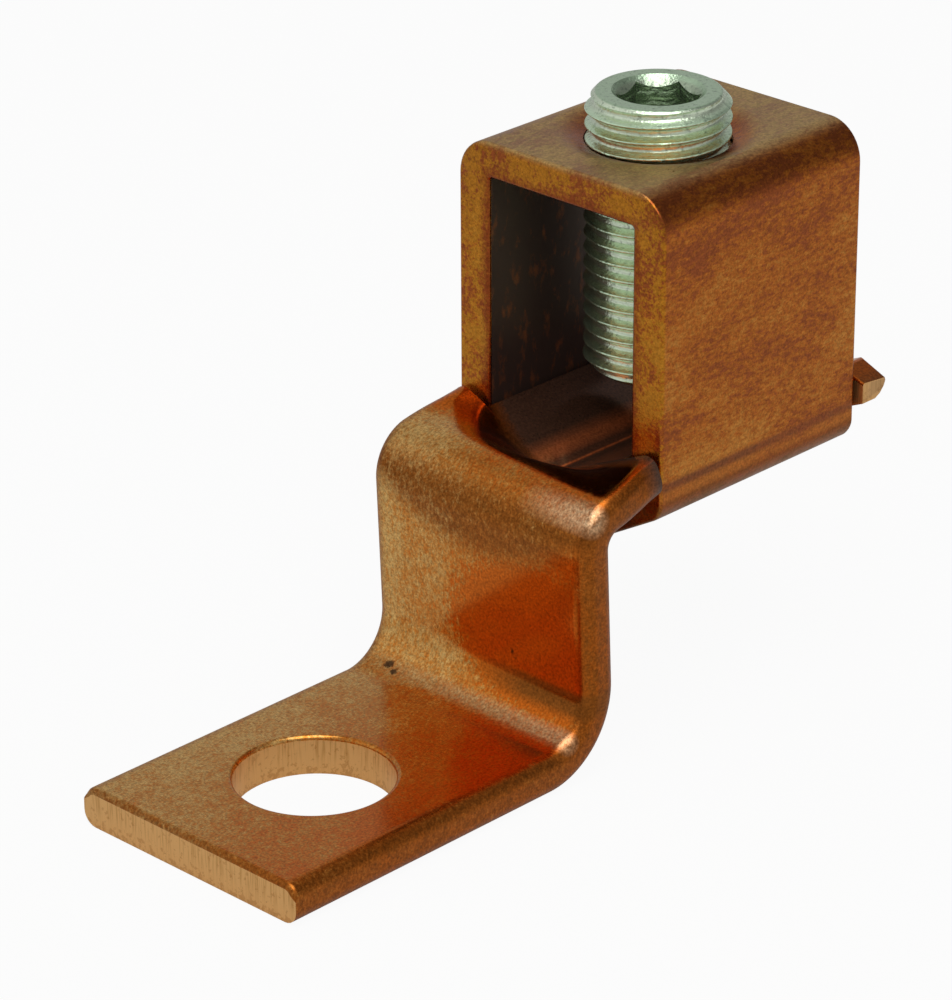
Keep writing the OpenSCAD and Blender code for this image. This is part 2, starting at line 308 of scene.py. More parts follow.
def parted_block(name, middle, size):
    """A block with a cut all round it on the lug's middle plane, ready to be creased there."""
    block = begin(name, bpy.ops.mesh.primitive_cube_add, size=1, location=middle, scale=size)
    bpy.ops.mesh.bisect(plane_co=(0, 0, 0), plane_no=(0, 1, 0), threshold=SAME)
    return block


def choose(piece, kind, test, sharper=0.0):
    """Selects only the vertices, edges or faces whose middle and normal pass a test, edges also by angle."""
    bpy.ops.mesh.select_mode(type=kind)
    bpy.ops.mesh.select_all(action="DESELECT")
    net = bmesh.from_edit_mesh(piece.data)
    if kind == "VERT":
        chosen = [v for v in net.verts if test(v.co, v.normal)]
    elif kind == "EDGE":
        chosen = [e for e in net.edges if e.calc_face_angle(math.pi) >= sharper
                  and test((e.verts[0].co + e.verts[1].co) / 2, None)]
    else:
        chosen = [f for f in net.faces if test(f.calc_center_median(), f.normal)]
    for item in chosen:
        item.select_set(True)
    bmesh.update_edit_mesh(piece.data)
    if not chosen:
        raise RuntimeError(f"nothing to select on {piece.name}")


def soften(piece, reach, steps, test, sharper=0.0, profile=0.5):
    """Rounds off the edges whose middle passes a test, as far as they are sharp enough."""
    choose(piece, "EDGE", test, sharper)
    bpy.ops.mesh.bevel(offset=reach, segments=steps, profile=profile)


def extrude(move):
    """Extrudes what is selected and moves it."""
    bpy.ops.mesh.extrude_region_move(TRANSFORM_OT_translate={"value": move})


def turn(angle, axis, centre):
    """Turns what is selected by the right-hand rule: with no window the operator counts the other way."""
    bpy.ops.transform.rotate(value=-angle, orient_axis=axis, orient_type="GLOBAL", center_override=centre)


def cut(piece, tool, operation):
    """Joins, cuts or intersects a piece with a tool, which is used up."""
    take_up(piece)
    bpy.ops.object.modifier_add(type="BOOLEAN")
    modifier = piece.modifiers[-1]
    modifier.operation, modifier.object, modifier.solver = operation, tool, "EXACT"
    bpy.ops.object.modifier_apply(modifier=modifier.name)
    bpy.data.objects.remove(tool)


def face_outwards():
    """Turns all faces of the mesh that is open for editing outwards."""
    bpy.ops.mesh.select_all(action="SELECT")
    bpy.ops.mesh.normals_make_consistent(inside=False)


def round_off(piece, angle):
    """Merges doubles, turns the faces outwards and shades smooth up to an angle, flat faces staying flat."""
    take_up(piece)
    bpy.ops.object.mode_set(mode="EDIT")
    bpy.ops.mesh.select_all(action="SELECT")
    bpy.ops.mesh.remove_doubles(threshold=SAME)
    face_outwards()
    bpy.ops.object.mode_set(mode="OBJECT")
    bpy.ops.object.shade_smooth_by_angle(angle=angle)
    bpy.ops.object.modifier_add(type="WEIGHTED_NORMAL")
    modifier = piece.modifiers[-1]
    modifier.keep_sharp, modifier.weight = True, FACE_WEIGHT
    bpy.ops.object.modifier_apply(modifier=modifier.name)


def finish_faces(piece, material, test):
    """Gives the faces whose middle and normal pass a test another material."""
    piece.data.materials.append(material)
    bpy.ops.object.mode_set(mode="EDIT")
    choose(piece, "FACE", test)
    piece.active_material_index = len(piece.data.materials) - 1
    bpy.ops.object.material_slot_assign()
    bpy.ops.object.mode_set(mode="OBJECT")


def offset_path(tang):
    """Centres of the two bends, directions of the riser and the ramp, and both ends of the ramp's middle."""
    along = Vector((-math.sin(tang.lean), 0, math.cos(tang.lean)))
    across = Vector((math.cos(tang.lean), 0, math.sin(tang.lean)))
    ramp = Vector((math.cos(tang.ramp_slope), 0, math.sin(tang.ramp_slope)))
    ramp_up = Vector((-math.sin(tang.ramp_slope), 0, math.cos(tang.ramp_slope)))
    lower = Vector((tang.flat, 0, tang.thickness + tang.lower_radius))
    upper = lower + (tang.lower_radius + tang.thickness + tang.upper_radius) * across + tang.riser * along
    foot = upper + (tang.upper_radius + tang.thickness / 2) * ramp_up
    return lower, upper, along, ramp, foot, foot + tang.ramp * ramp


def fold_line(tang, fold):
    """Slope of the V and distance of the line that each side folds about, at a share of the full fold."""
    step = tang.thickness / 2 - tang.corner
    flat_y = tang.width / 2 - tang.thickness / 2
    shoulder_y = tang.saddle / 2 - tang.corner - step * (math.cos(tang.vee) + math.sin(tang.vee))
    return fold * tang.vee, flat_y + fold * (shoulder_y - flat_y)


def saddle_middle(tang):
    """Height of the middle of the strip at the saddle's crease."""
    vee, fold_y = fold_line(tang, 1)
    return offset_path(tang)[5].z - fold_y * math.tan(vee)


def half_height(tang):
    """Upright distance from the middle of the V to either of its faces."""
    return tang.thickness / 2 / math.cos(tang.vee)


def bend_strip(tang):
    """The strip up to its shoulders: a rounded section, extruded, spun round both bends and folded."""
    start = Vector((-tang.end, 0, tang.thickness / 2))
    lower, upper, along, _, _, shoulder = offset_path(tang)
    swing = math.pi / 2 + tang.lean
    strip = begin("offset_tang_copper", bpy.ops.mesh.primitive_plane_add, size=1, location=start,
                  rotation=(0, math.pi / 2, 0))
    bpy.ops.transform.resize(value=(1, tang.width, tang.thickness), center_override=start)
    choose(strip, "EDGE", lambda place, normal: abs(place.y) < SAME)
    bpy.ops.mesh.subdivide(number_cuts=STRIP_COLUMNS - 1)
    choose(strip, "VERT", lambda place, normal: abs(place.y) > tang.width / 2 - SAME)
    bpy.ops.mesh.bevel(offset=tang.corner, segments=STRIP_CORNER, affect="VERTICES")
    bpy.ops.mesh.select_all(action="SELECT")
    extrude((tang.end + tang.flat, 0, 0))
    bpy.ops.mesh.spin(steps=BEND_STEPS, angle=swing, center=lower, axis=(0, 1, 0))
    extrude(tang.riser * along)
    bpy.ops.mesh.spin(steps=BEND_STEPS, angle=tang.ramp_slope - swing, center=upper, axis=(0, 1, 0))
    for step in range(RAMP_STEPS):
        press_saddle(strip, tang, step / RAMP_STEPS, (step + 1) / RAMP_STEPS)
    bpy.ops.transform.resize(value=(0, 1, 1), center_override=shoulder)
    soften(strip, tang.roll, 5, lambda place, normal: abs(place.x - start.x) < SAME
           and place.z > start.z + tang.corner / 2, SHARP)
    return strip


def press_saddle(strip, tang, before, after):
    """Extrudes the ramp by one step, levels the new section a little and folds it further into the V."""
    *_, ramp, foot, _ = offset_path(tang)
    share = after - before
    extrude(tang.ramp * share * ramp)
    centre = foot + tang.ramp * after * ramp
    turn(tang.ramp_slope * share, "Y", centre)
    # The fold eases in and out along the ramp
    slope_0, fold_0 = fold_line(tang, before * before * (3 - 2 * before))
    slope_1, fold_1 = fold_line(tang, after * after * (3 - 2 * after))
    net = bmesh.from_edit_mesh(strip.data)
    net.verts.index_update()
    section = {v.index: v.co.copy() for v in net.verts if v.select}
    dip = fold_1 * math.tan(slope_1) - fold_0 * math.tan(slope_0)
    thicker = tang.thickness / 2 * (1 / math.cos(slope_1) - 1 / math.cos(slope_0))
    middle = centre.z - fold_0 * math.tan(slope_0)
    for side in (1, -1):
        choose_section(strip, section, lambda place: place.y * side > SAME)
        turn(side * (slope_1 - slope_0), "X", centre + Vector((0, side * fold_0, 0)))
        bpy.ops.transform.translate(value=(0, side * (fold_1 - fold_0), 0))
    for face in (1, -1):
        choose_section(strip, section, lambda place: abs(place.y) < SAME and (place.z - middle) * face > 0)
        bpy.ops.transform.translate(value=(0, 0, face * thicker - dip))
    choose_section(strip, section, lambda place: True)
    bpy.ops.mesh.select_mode(type="FACE")


def choose_section(strip, section, test):
    """Selects the corners of the newest section whose places before folding pass a test."""
    bpy.ops.mesh.select_mode(type="VERT")
    bpy.ops.mesh.select_all(action="DESELECT")
    net = bmesh.from_edit_mesh(strip.data)
    net.verts.ensure_lookup_table()
    for index, place in section.items():
        if test(place):
            net.verts[index].select_set(True)
    net.select_flush(True)
    bmesh.update_edit_mesh(strip.data)


def vee_block(name, tang, from_x, to_x, width):
    """A piece of the V saddle with upright sides: a block creased down its middle."""
    rise = width / 2 * math.tan(tang.vee)
    block = parted_block(name, ((from_x + to_x) / 2, 0, saddle_middle(tang) + rise),
                         (to_x - from_x, width, 2 * half_height(tang)))
    choose(block, "VERT", lambda place, normal: abs(place.y) < SAME)
    bpy.ops.transform.translate(value=(0, 0, -rise))
    return block


def roll_over(head, tang):
    """Drops the head's upper side edges, as the shears leave them, and softens what stays above."""
    inner = tang.saddle / 2 - tang.head_roll
    inner_z = saddle_middle(tang) + half_height(tang) + inner * math.tan(tang.vee)
    rise = tang.head_roll * math.tan(tang.vee) - tang.head_drop
    for side in (1, -1):
        bpy.ops.mesh.select_all(action="SELECT")
        bpy.ops.mesh.bisect(plane_co=(0, side * inner, inner_z), plane_no=(0, -side * rise, tang.head_roll),
                            use_fill=True, clear_outer=True, threshold=SAME)
    soften(head, HEAD_SOFT, 3, lambda place, normal: abs(place.y) > inner - SAME
           and place.z > inner_z + min(rise, 0) - SAME, ROLL_SHARP)


def model_tang(tang):
    """The whole tang: the bent strip with its notched neck, its head and its punched hole."""
    strip = bend_strip(tang)
    shoulder_x = offset_path(tang)[5].x
    play = COLLAR_LOW.x - shoulder_x
    head_x = COLLAR_HIGH.x + play
    neck = vee_block("neck", tang, shoulder_x - LAP, head_x + LAP, tang.neck)
    head = vee_block("head", tang, head_x, TANG_HIGH.x, tang.saddle)
    soften(head, tang.head_bevel, 3, lambda place, normal: place.x > TANG_HIGH.x - SAME
           and abs(place.y) < tang.saddle / 2 - SAME
           and place.z < saddle_middle(tang) + abs(place.y) * math.tan(tang.vee), SHARP, profile=0.4)
    roll_over(head, tang)
    cut(strip, neck, "UNION")
    cut(strip, head, "UNION")
    punch = begin("punch", bpy.ops.mesh.primitive_cylinder_add, vertices=ROUND_SIDES, radius=tang.stud / 2,
                  depth=4 * tang.thickness, location=(0, 0, tang.thickness / 2))
    cut(strip, punch, "DIFFERENCE")
    bpy.ops.object.mode_set(mode="EDIT")
    soften(strip, tang.stud_break, 4, lambda place, normal: place.z > tang.thickness - SAME
           and abs(place.xy.length - tang.stud / 2) < PUNCH_SLACK, SHARP)
    round_off(strip, SMOOTH)
    return strip


def collar_bar(collar):
    """A solid bar with the collar's outline: a V floor, rounded long edges and a rounded keel."""
    half = COLLAR_HIGH.y
    half_floor = math.pi / 2 - collar.floor_slope
    tangent = 1 / math.tan(half_floor)
    keel_z = COLLAR_LOW.z - collar.keel * (1 / math.sin(half_floor) - 1)
    flank_z = keel_z + half * math.tan(collar.floor_slope)
    bar = parted_block("collar_copper", (COLLAR_MIDDLE, 0, (keel_z + COLLAR_HIGH.z) / 2),
                       (COLLAR_LENGTH, 2 * half, COLLAR_HIGH.z - keel_z))
    choose(bar, "VERT", lambda place, normal: place.z < keel_z + SAME and abs(place.y) > SAME)
    bpy.ops.transform.translate(value=(0, 0, flank_z - keel_z))
    for y, z, reach in ((half, COLLAR_HIGH.z, collar.crown), (half, flank_z, collar.flank * tangent),
                        (0, keel_z, collar.keel * tangent)):
        soften(bar, reach, COLLAR_CORNER, lambda place, normal: abs(place.x - COLLAR_MIDDLE) < SAME
               and abs(abs(place.y) - y) < SAME and abs(place.z - z) < SAME)
    return bar


def collar_mandrel(tang, collar):
    """A solid bar with the outline of the collar's inside, a little longer than the collar."""
    under_z = saddle_middle(tang) - half_height(tang)
    ledge_z = under_z + collar.way / 2 * math.tan(tang.vee)
    top_z = COLLAR_HIGH.z - collar.top_wall
    mandrel = parted_block("mandrel", (COLLAR_MIDDLE, 0, (ledge_z + top_z) / 2),
                           (COLLAR_LENGTH + 2 * LAP, collar.way, top_z - ledge_z))
    choose(mandrel, "VERT", lambda place, normal: place.z < ledge_z + SAME and abs(place.y) < SAME)
    bpy.ops.transform.translate(value=(0, 0, under_z - ledge_z))
    soften(mandrel, collar.rim, COLLAR_CORNER, lambda place, normal: abs(place.x - COLLAR_MIDDLE) < SAME
           and (abs(place.y) > SAME or place.z < ledge_z))
    return mandrel


def hollow(body, mandrel):
    """Makes a tube of two bars: both lose their ends, bridges close the mouths, the mandrel is drawn in."""
    for bar in (body, mandrel):
        clear_selection()
        bpy.context.view_layer.objects.active = bar
        bpy.ops.object.mode_set(mode="EDIT")
        choose(bar, "FACE", lambda place, normal: abs(normal.x) > ALONG)
        bpy.ops.mesh.delete(type="FACE")
    take_up(body)
    mandrel.select_set(True)
    bpy.ops.object.join()
    bpy.ops.object.mode_set(mode="EDIT")
    for mouth_x, out in ((COLLAR_LOW.x, -1), (COLLAR_HIGH.x, 1)):
        choose(body, "EDGE", lambda place, normal: (place.x - mouth_x) * out > -SAME)
        bpy.ops.mesh.bridge_edge_loops()
        choose(body, "VERT", lambda place, normal: (place.x - mouth_x) * out > LAP - SAME)
        bpy.ops.transform.translate(value=(-out * LAP, 0, 0))
    face_outwards()


def dished_drill(collar):
    """The tool that bores the top wall and leaves a shallow dish round the hole."""
    bore_r = SCREW_RADIUS + collar.bore_clearance
    drill = begin("drill", bpy.ops.mesh.primitive_cylinder_add, vertices=ROUND_SIDES, radius=bore_r,
                  depth=4 * collar.top_wall,
                  location=(SCREW_AXIS.x, 0, COLLAR_HIGH.z - collar.dish_depth - 2 * collar.top_wall))
    choose(drill, "FACE", lambda place, normal: normal.z > ALONG)
    width_0, rise_0 = 0.0, 0.0
    for width, rise in DISH_PROFILE:
        extrude((0, 0, (rise - rise_0) * collar.dish_depth))
        ratio = (bore_r + width * collar.dish) / (bore_r + width_0 * collar.dish)
        bpy.ops.transform.resize(value=(ratio, ratio, 1), center_override=(SCREW_AXIS.x, 0, COLLAR_HIGH.z))
        width_0, rise_0 = width, rise
    return drill


def model_collar(tang, collar):
    """The collar: a bar with a V floor, hollowed, softened at its mouths and bored for the screw."""
    body = collar_bar(collar)
    hollow(body, collar_mandrel(tang, collar))
    soften(body, collar.rim, 3, lambda place, normal: abs(abs(place.x - COLLAR_MIDDLE)
                                                          - COLLAR_LENGTH / 2) < SAME, SHARP)
    cut(body, dished_drill(collar), "DIFFERENCE")
    round_off(body, SMOOTH)
    return body


def turn_thread(screw):
    """A closed bar with the whole thread: the profile of one pitch, drawn point by point and wound up."""
    bottom, top = SCREW_LOW.z, SCREW_HIGH.z
    profile = THREAD_PROFILE + tuple((1 - up, out) for up, out in THREAD_PROFILE[-2::-1])
    bar = begin("thread", bpy.ops.mesh.primitive_plane_add, size=MM)
    bpy.ops.mesh.merge(type="CENTER")
    places = [(SCREW_RADIUS - screw.depth * (1 - out), bottom + (up - SPARE_TURNS) * screw.pitch)
              for up, out in profile]
    bpy.ops.transform.translate(value=(places[0][0], 0, places[0][1]))
    for (r0, z0), (r1, z1) in zip(places, places[1:]):
        bpy.ops.mesh.extrude_vertices_move(TRANSFORM_OT_translate={"value": (r1 - r0, 0, z1 - z0)})
    bpy.ops.object.mode_set(mode="OBJECT")
    bpy.ops.object.modifier_add(type="SCREW")
    winding = bar.modifiers[-1]
    winding.axis, winding.screw_offset = "Z", screw.pitch
    winding.iterations = math.ceil((top - bottom) / screw.pitch) + 2 * SPARE_TURNS
    winding.steps = winding.render_steps = THREAD_STEPS
    winding.use_merge_vertices, winding.merge_threshold = True, SAME
    bpy.ops.object.modifier_apply(modifier=winding.name)
    bpy.ops.object.mode_set(mode="EDIT")
    bpy.ops.mesh.select_all(action="SELECT")
    bpy.ops.mesh.remove_doubles(threshold=SAME)
    for height, clear in ((bottom - LAP, "clear_inner"), (top + LAP, "clear_outer")):
        bpy.ops.mesh.select_all(action="SELECT")
        bpy.ops.mesh.bisect(plane_co=(0, 0, height), plane_no=(0, 0, 1), use_fill=True, threshold=SAME,
                            **{clear: True})
    face_outwards()
    return bar


def model_screw(screw):
    """The set screw: a turned and broached blank, and the thread that is cut into it."""
    bottom, top = SCREW_LOW.z, SCREW_HIGH.z
    body_low, body_high = bottom + screw.tip_chamfer, top - screw.ring_chamfer
    blank = begin("set_screw_steel", bpy.ops.mesh.primitive_cylinder_add, vertices=ROUND_SIDES,
                  radius=SCREW_RADIUS, depth=body_high - body_low,
                  location=(0, 0, (body_low + body_high) / 2))
    for face_z, rise, radius in ((body_low, -screw.tip_chamfer, screw.tip_radius),
                                 (body_high, screw.ring_chamfer, screw.ring_radius)):
        choose(blank, "FACE", lambda place, normal: abs(place.z - face_z) < SAME)
        extrude((0, 0, rise))
        ratio = radius / SCREW_RADIUS
        bpy.ops.transform.resize(value=(ratio, ratio, 1), center_override=(0, 0, face_z + rise))
    for face_z in (bottom, top):
        soften(blank, SCREW_SOFT, 3, lambda place, normal: abs(place.z - face_z) < SAME)
    flat = screw.hexagon / 2
    broach = begin("broach", bpy.ops.mesh.primitive_cylinder_add, vertices=6, depth=2 * screw.socket,
                   radius=flat / math.cos(math.pi / 6), location=(0, 0, top),
                   rotation=(0, 0, screw.socket_turn + math.pi / 2))
    cut(blank, broach, "DIFFERENCE")
    sink_h = screw.sink - flat
    sink = begin("countersink", bpy.ops.mesh.primitive_cone_add, vertices=ROUND_SIDES, radius1=flat,
                 radius2=flat + 2 * sink_h, depth=2 * sink_h, location=(0, 0, top))
    cut(blank, sink, "DIFFERENCE")
    point_h = flat / math.tan(DRILL_HALF)
    point = begin("drill_point", bpy.ops.mesh.primitive_cone_add, vertices=ROUND_SIDES // 2, radius1=0,
                  radius2=flat, depth=point_h, location=(0, 0, top - screw.socket - point_h / 2 + POINT_LAP))
    cut(blank, point, "DIFFERENCE")
    cut(blank, turn_thread(screw), "INTERSECT")
    bpy.ops.transform.translate(value=SCREW_AXIS)
    bpy.ops.object.transform_apply(location=True, rotation=True, scale=True)
    round_off(blank, THREAD_SMOOTH)
    return blank


def node(tree, kind, inputs=(), stops=(), **settings):
    """Adds a node with its settings and colour stops, and sets or links its inputs, by name or in order.

    A node that is given as an input is linked from its first output in use.
    """
    new = tree.nodes.new("ShaderNode" + kind)
    for name, value in settings.items():
        setattr(new, name, value)
    if isinstance(inputs, dict):
        pairs = [(new.inputs[name], value) for name, value in inputs.items()]
    else:
        pairs = zip([socket for socket in new.inputs if socket.enabled], inputs)
    for socket, value in pairs:
        if isinstance(value, bpy.types.Node):
            value = next(output for output in value.outputs if output.enabled)
        if isinstance(value, bpy.types.NodeSocket):
            tree.links.new(value, socket)
        else:
            socket.default_value = value
    if stops:
        ramp = new.color_ramp.elements
        ramp.remove(ramp[1])
        ramp[0].position, ramp[0].color = stops[0]
        for position, value in stops[1:]:
            ramp.new(position).color = value
    return new


def greys(shares):
    """Colour stops that carry a share from 0 to 1 at each position."""
    return [(position, (share, share, share, 1)) for position, share in shares]


def per_mm(size):
    """Scale of a pattern whose features are some millimetres across, on coordinates in metres."""
    return 1 / (size * MM)


def clear_nodes(owner):
    """Empties the node tree of a material or of the world, and gives the function that adds its nodes."""
    owner.use_nodes = True
    owner.node_tree.nodes.clear()
    return partial(node, owner.node_tree)


def new_metal(name):
    """An empty node material, with the Object coordinates that its patterns read, whole and as X, Y and Z."""
    material = bpy.data.materials.new(name)
    add = clear_nodes(material)
    place = add("TexCoord").outputs["Object"]
    return material, add, place, add("SeparateXYZ", (place,)).outputs


def show(add, inputs):
    """Gives a material its shader, with what reaches its inputs."""
    add("OutputMaterial", {"Surface": add("BsdfPrincipled", inputs)})


def pitted(add, place, tone, depth):
    """Darkens and lightens a colour by a share in the fine pits and high spots of a worked metal surface."""
    pits = add("TexNoise", (place, per_mm(0.16), 2.0, 0.6))
    gain = add("MapRange", (pits, 0.3, 0.7, 1 - depth, 1 + depth))
    return add("VectorMath", (tone, gain), operation="SCALE")


def haze_share(add, tang, place, spot, grain):
    """Share of pale haze: more on the left and towards the tang's end, less on the ramp, and almost none on
    the riser's painted orange reflection.
    """
    x, y, _ = spot
    cloud = add("TexNoise", (place, per_mm(4.5), 6.0, 0.68))
    left = add("MapRange", (y, -tang.width / 2, tang.width / 2, -0.65, 0.4))
    total = add("Math", (cloud, 1.8, left), operation="MULTIPLY_ADD")
    total = add("Math", (grain, 3.4, total), operation="MULTIPLY_ADD")
    fore = add("MapRange", (x, 0.0, -tang.end, 0.0, 0.25))
    ramp = add("MapRange", (x, *RAMP_HAZE, 0.0, -1.3))
    # Painted reflection: a large ragged patch on the right of the riser is nearly bare of haze, for the
    # orange that it mirrors
    apart = add("VectorMath", (place, REFLECTION_MIDDLE), operation="SUBTRACT")
    apart = add("VectorMath", (apart, REFLECTION_REACH), operation="DIVIDE")
    apart = add("VectorMath", (apart,), operation="LENGTH")
    ragged = add("Math", (grain, 0.7, apart), operation="MULTIPLY_ADD")
    painted_reflection = add("MapRange", (ragged, 1.4, 1.2, 0.0, -0.9))
    for change in (fore, ramp, painted_reflection):
        total = add("Math", (total, change), operation="ADD")
    return add("MapRange", (total, 1.9, 3.6))


def edge_share(add, tang, spot):
    """Share of edge: full on the strip's sides and at its sheared end, none on its faces."""
    x, y, _ = spot
    away = add("Math", (y,), operation="ABSOLUTE")
    side = add("MapRange", (away, tang.width / 2 - 1.2 * MM, tang.width / 2 - 0.3 * MM))
    tip = add("MapRange", (x, tang.roll - tang.end, 0.4 * tang.roll - tang.end))
    return add("Math", (side, tip), operation="MAXIMUM")


def brown_shares(add, spot, grain, edge):
    """Shares of brown: painted shade on the edges, a painted reflection on the upper bend, and darker along
    the foot of the riser.
    """
    _, y, z = spot
    # Painted shade along the sides and the upper edge of the sheared end
    side_shade = add("MapRange", (grain, 0.8, 0.4, 0.0, edge))
    # Painted reflection: a brown patch on the upper bend, where it mirrors darker surroundings, hanging
    # lowest in its middle
    sag = add("Math", (y, y), operation="MULTIPLY")
    sag = add("Math", (sag, PATCH_CURVE, z), operation="MULTIPLY_ADD")
    patch = add("MapRange", (sag, *PATCH_LOW))
    patch = add("MapRange", (z, *PATCH_HIGH, 0.0, patch))
    patch = add("MapRange", (grain, 0.78, 0.45, 0.0, patch))
    # The foot is dull on its right
    foot = add("MapRange", (y, 0.0, -4 * MM))
    for limits in (FOOT_HIGH, FOOT_LOW):
        foot = add("MapRange", (z, *limits, 0.0, foot))
    return side_shade, patch, foot


def saddle_share(add, spot, grain):
    """Share of dark oxide and painted shade: from the ramp, where it starts raggedly and later on the left,
    to the head.
    """
    x, y, _ = spot
    start = add("Math", (y, 0.0), operation="MAXIMUM")
    start = add("Math", (start, start), operation="MULTIPLY")
    start = add("Math", (start, SADDLE_CURVE, x), operation="MULTIPLY_ADD")
    start = add("Math", (grain, 1.6 * MM, start), operation="MULTIPLY_ADD")
    end = add("MapRange", (x, *SADDLE_END))
    return add("MapRange", (start, *SADDLE_START, 0.0, end))


def painted_highlight_share(add, tang, place, spot, grain):
    """Share of painted highlight along the lower bend, brighter towards its right, and on the right of the
    upper bend.
    """
    _, y, _ = spot
    flat = add("VectorMath", (place, (1, 0, 1)), operation="MULTIPLY")
    lower = offset_path(tang)[0]
    lower = lower + tang.lower_radius * Vector((math.sin(HIGHLIGHT_ANGLE), 0, -math.cos(HIGHLIGHT_ANGLE)))
    gap = add("VectorMath", (flat, lower), operation="DISTANCE")
    brighter = add("MapRange", (y, tang.width / 2, -tang.width / 2, 0.05, 0.7))
    inside = add("MapRange", (gap, 0.3 * MM, 0.9 * MM, brighter, 0.0))
    gap = add("VectorMath", (flat, UPPER_HIGHLIGHT), operation="DISTANCE")
    right = add("MapRange", (y, -3 * MM, -8 * MM))
    outside = add("MapRange", (gap, 1.3 * MM, 0.4 * MM, 0.0, right))
    highlight = add("Math", (inside, outside), operation="MAXIMUM")
    return add("MapRange", (grain, 0.3, 0.6, 0.0, highlight))


def dent_share(add, place, grain):
    """Share of dark oxide in the few small ragged dents that knocks left."""
    struck = 0.0
    for *middle, size in DENTS:
        gap = add("VectorMath", (place, [c * MM for c in middle]), operation="DISTANCE")
        ragged = add("Math", (grain, 0.8 * MM, gap), operation="MULTIPLY_ADD")
        dent = add("MapRange", (ragged, (0.4 + size) * MM, (0.4 + 0.6 * size) * MM, 0.0, 0.85))
        struck = add("Math", (struck, dent), operation="MAXIMUM")
    return struck


def rolled_copper(tang):
    """Oxidised rolled copper: a fine grain of orange metal and olive haze, brown edges and a dark saddle."""
    material, add, place, spot = new_metal("oxidised rolled copper")
    drawn = add("Mapping", {"Vector": place, "Scale": (1.0, 1.0, 0.6)})
    grain = add("TexNoise", (drawn, per_mm(0.3), 6.0, 0.82))
    thick = haze_share(add, tang, place, spot, grain)
    edge = edge_share(add, tang, spot)
    # Dark oxide of the saddle, partly painted shade under the collar and a painted reflection of its dark
    # inside
    saddle = saddle_share(add, spot, grain)
    # Painted reflection and highlight on the rounding of the saddle's crease, laid over the saddle's dark
    across = add("MapRange", (spot["Y"], *CREASE_STRETCH))
    crease = add("ValToRGB", (across,), stops=greys(CREASE_REFLECTION))
    saddle_shade_and_sheen = add("Mix", (crease, tang.oxide, tang.crease), data_type="RGBA")
    tone = add("ValToRGB", (thick,), stops=((0.08, tang.deep), (0.42, tang.copper), (0.8, tang.haze)))
    # Brown over it: painted shade on the edges, a painted reflection on the upper bend, and a darker foot of
    # the riser
    layers = [(share, tang.edge) for share in brown_shares(add, spot, grain, edge)]
    # Over it go the saddle's dark with its painted shade, the painted highlights on the bends and the dark
    # dents
    layers += [(saddle, saddle_shade_and_sheen), (painted_highlight_share(add, tang, place, spot, grain), tang.painted_highlight),
               (dent_share(add, place, grain), tang.dent)]
    for share, over in layers:
        tone = add("Mix", (share, tone, over), data_type="RGBA")
    gloss = add("MapRange", (thick, 0.0, 1.0, 0.11, 0.36))
    gloss = add("Math", (edge, 0.25, gloss), operation="MULTIPLY_ADD")
    # A thick oxide is no longer a bare metal surface
    metal = add("MapRange", (saddle, 0.0, 1.0, 1.0, 0.6))
    bump = add("Bump", {"Height": grain, "Strength": 0.5, "Distance": 0.006 * MM})
    show(add, {"Base Color": pitted(add, place, tone, 0.35), "Roughness": gloss, "Metallic": metal,
               "Normal": bump})
    return material


def sheared_copper(tang):
    """Freshly sheared copper: pale tan, drawn down in fine lines by the tool, flecked where it tore off."""
    material, add, place, spot = new_metal("sheared copper")
    drawn = add("Mapping", {"Vector": place, "Scale": (1.0, 1.0, 0.05)})
    lines = add("TexNoise", (drawn, per_mm(0.16), 2.0, 0.6))
    fleck = add("TexNoise", (place, per_mm(0.45), 4.0, 0.7))
    # The drawn lines grow faint where the metal tore, some way above the lower edge
    faint = add("MapRange", (spot["Z"], 0.3 * tang.thickness, 0.6 * tang.thickness, 0.12, 0.45))
    dark = add("MapRange", (lines, 0.5, 0.38, 0.0, faint))
    tone = add("Mix", (dark, tang.sheared, tang.drawn), data_type="RGBA")
    low = add("MapRange", (spot["Z"], 0.0, 0.35 * tang.thickness, 0.52, 0.4))
    specks = add("Math", (fleck, low), operation="LESS_THAN")
    specks = add("Math", (specks, 0.35), operation="MULTIPLY")
    tone = add("Mix", (specks, tone, tang.torn), data_type="RGBA")
    bump = add("Bump", {"Height": lines, "Strength": 0.2, "Distance": 0.015 * MM})
    show(add, {"Base Color": tone, "Roughness": 0.45, "Metallic": 1.0, "Normal": bump})
    return material


def sawn_front(add, collar, spot, mottle, tone):
    """Lays the sawn front's oxide over a colour: golden between its stains, red-brown next to the mouth."""
    x, y, z = spot
    sawn = add("MapRange", (x, COLLAR_LOW.x + 0.3 * MM, COLLAR_LOW.x + 0.1 * MM))
    golden = add("MapRange", (mottle, 0.36, 0.5, 0.0, 0.65))
    golden = add("Math", (golden, sawn), operation="MULTIPLY")
    tone = add("Mix", (golden, tone, collar.sawn), data_type="RGBA")
    beside = add("Math", (y,), operation="ABSOLUTE")
    beside = add("Math", (beside, collar.way / 2), operation="SUBTRACT")
    over = add("Math", (z, COLLAR_HIGH.z - collar.top_wall), operation="SUBTRACT")
    border = add("Math", (beside, over), operation="MAXIMUM")
    border = add("Math", (mottle, 1.5 * MM, border), operation="MULTIPLY_ADD")
    border = add("MapRange", (border, 1.7 * MM, 0.8 * MM, 0.0, sawn))
    return add("Mix", (border, tone, collar.mouth), data_type="RGBA")


